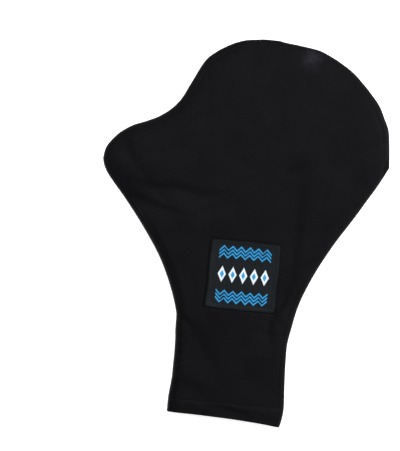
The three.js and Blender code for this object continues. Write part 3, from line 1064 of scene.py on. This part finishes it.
def makeLabelMaterial(tone):
    material, tree, shader = newMaterial("wovenPatch")
    calc = partial(mathNode, tree)
    uv = tree.nodes.new("ShaderNodeUVMap")
    split = tree.nodes.new("ShaderNodeSeparateXYZ")
    tree.links.new(uv.outputs["UV"], split.inputs[0])
    threads = labelWeave["threads"]
    u = calc("SNAP", split.outputs[0], 1 / threads)
    v = calc("SNAP", split.outputs[1], 1 / threads)
    sideways = calc("SUBTRACT", u, 0.5)
    upright = calc("ABSOLUTE", calc("SUBTRACT", v, 0.5))
    field = calc("LESS_THAN", calc("ABSOLUTE", sideways), labelWeave["field"])

    zigzag = labelWeave["zigzag"]
    wave = calc("PINGPONG", sideways, zigzag["period"])
    fromBand = calc("SUBTRACT", calc("SUBTRACT", upright, zigzag["centre"]), wave)
    lines = None
    for step in (-1, 0, 1):
        off = calc("ABSOLUTE", calc("ADD", fromBand, step * zigzag["apart"]))
        line = calc("LESS_THAN", off, zigzag["line"])
        lines = line if lines is None else calc("MAXIMUM", lines, line)
    lines = calc("MULTIPLY", lines, field)

    lozenge = labelWeave["lozenge"]
    cell = calc("PINGPONG", sideways, lozenge["period"])
    size = calc("ADD", calc("DIVIDE", cell, lozenge["halfWidth"]),
                calc("DIVIDE", upright, lozenge["halfHeight"]))
    whole = calc("MULTIPLY", calc("LESS_THAN", size, 1.0), field)
    heart = calc("MULTIPLY", calc("LESS_THAN", size, lozenge["heart"]), field)
    blueMask = calc("MAXIMUM", lines, heart)
    whiteMask = calc("SUBTRACT", whole, heart)

    # warp and weft of the patch, with the warp ribs the stronger
    warp = calc("ABSOLUTE", calc("SINE", calc("MULTIPLY", split.outputs[0], math.pi * threads)))
    weft = calc("ABSOLUTE", calc("SINE", calc("MULTIPLY", split.outputs[1], math.pi * threads)))
    ribDepth = labelWeave["ribDepth"]
    grain = calc("MULTIPLY", warp, calc("MULTIPLY_ADD", weft, ribDepth, 1 - ribDepth))

    toneNode = placeGroup(tree, tone, labelWeave["tone"], uv.outputs["UV"])
    flecks = rangeNode(tree, toneNode.outputs["Flecks"], *labelWeave["groundRange"])
    light = calc("MULTIPLY", grain, flecks)
    colour = mixColours(tree, light, labelWeave["ground"], labelWeave["groundLight"])
    shade = calc("MULTIPLY_ADD", grain, labelWeave["shade"], 1 - labelWeave["shade"])
    for mask, thread in ((blueMask, "blue"), (whiteMask, "white")):
        colour = mixColours(tree, calc("MULTIPLY", mask, shade), colour, labelWeave[thread])
    relief = calc("ADD", grain, calc("MAXIMUM", blueMask, whiteMask))
    finishShader(tree, shader, labelWeave, colour, toneNode.outputs["Tone"], relief)
    return material


floorLook = {
    "size": 6.0,
    "below": 0.15 * mm,
    "colour": (0.90, 0.90, 0.90, 1),
    "roughness": 0.9,
    "gloss": 0.1,
    "glow": 0.6,
}


def makeFloor():
    bpy.ops.mesh.primitive_plane_add(size=floorLook["size"], location=(0, 0, -floorLook["below"]))
    floor = bpy.context.object
    floor.name = "floor"
    material, tree, shader = newMaterial("paleFloor")
    shader.inputs["Base Color"].default_value = floorLook["colour"]
    shader.inputs["Roughness"].default_value = floorLook["roughness"]
    shader.inputs["Specular IOR Level"].default_value = floorLook["gloss"]
    shader.inputs["Emission Color"].default_value = (1, 1, 1, 1)
    shader.inputs["Emission Strength"].default_value = floorLook["glow"]
    floor.data.materials.append(material)


# Each light: x, y, z, size and power
studio = {
    "softbox": (0.0, 0.7, 1.9, 1.1, 31.0),
    "key": (1.15, 0.5, 0.7, 0.5, 17.0),
    "leftFill": (-1.3, 0.2, 0.65, 0.8, 3.5),
    "rightFill": (1.0, -0.85, 0.7, 0.8, 6.5),
    "sky": 0.35,
}


def addLight(name, x, y, z, size, power):
    bpy.ops.object.light_add(type="AREA", location=(x, y, z))
    light = bpy.context.object
    light.name = name
    light.data.shape = "DISK"
    light.data.size = size
    light.data.energy = power
    light.rotation_euler = (Vector((0, 0, 0)) - Vector((x, y, z))).to_track_quat("-Z", "Y").to_euler()


def makeStudio():
    for name in ("softbox", "key", "leftFill", "rightFill"):
        addLight(name, *studio[name])
    world = bpy.data.worlds.new("paleRoom")
    world.use_nodes = True
    background = world.node_tree.nodes["Background"]
    background.inputs["Color"].default_value = (1, 1, 1, 1)
    background.inputs["Strength"].default_value = studio["sky"]
    bpy.context.scene.world = world
    bpy.context.scene.view_settings.view_transform = "Standard"


# The photograph looks straight down, with the glove leaning 5.8 degrees over to the right
view = {
    "height": 1.6,
    "frameHeight": 0.3157,
    "lean": 5.8,
    "aim": (-31.0, 134.75),
    "clothPlane": 0.006,
    "sensor": 36,
    "farthest": 20,
}


def makeCamera():
    x, y = view["aim"]
    place = (x * mm, mouthY + y * mm, view["height"])
    bpy.ops.object.camera_add(location=place, rotation=(0, 0, math.radians(view["lean"])))
    camera = bpy.context.object
    camera.data.sensor_width = view["sensor"]
    camera.data.lens = view["sensor"] * (view["height"] - view["clothPlane"]) / view["frameHeight"]
    camera.data.clip_end = view["farthest"]
    bpy.context.scene.camera = camera


makeCamera()
makeStudio()
makeFloor()
print("studio ready")

knitGroup = makeKnitGroup()
toneGroup = makeToneGroup()
clothMaterial = makeClothMaterial(knitGroup, toneGroup)
threadMaterial = makeThreadMaterial(toneGroup, blackThread)
hemThreadMaterial = makeThreadMaterial(toneGroup, greyThread)
labelMaterial = makeLabelMaterial(toneGroup)
print("materials ready")

back = makeBackPanel(clothMaterial)
print("back panel ready")
palm = makePalmPanel(clothMaterial)
makeCuffHem(clothMaterial)
print("palm panel and hem ready")
makeLabel(labelMaterial)
makeStitching(threadMaterial, hemThreadMaterial)
print("label and stitching ready")
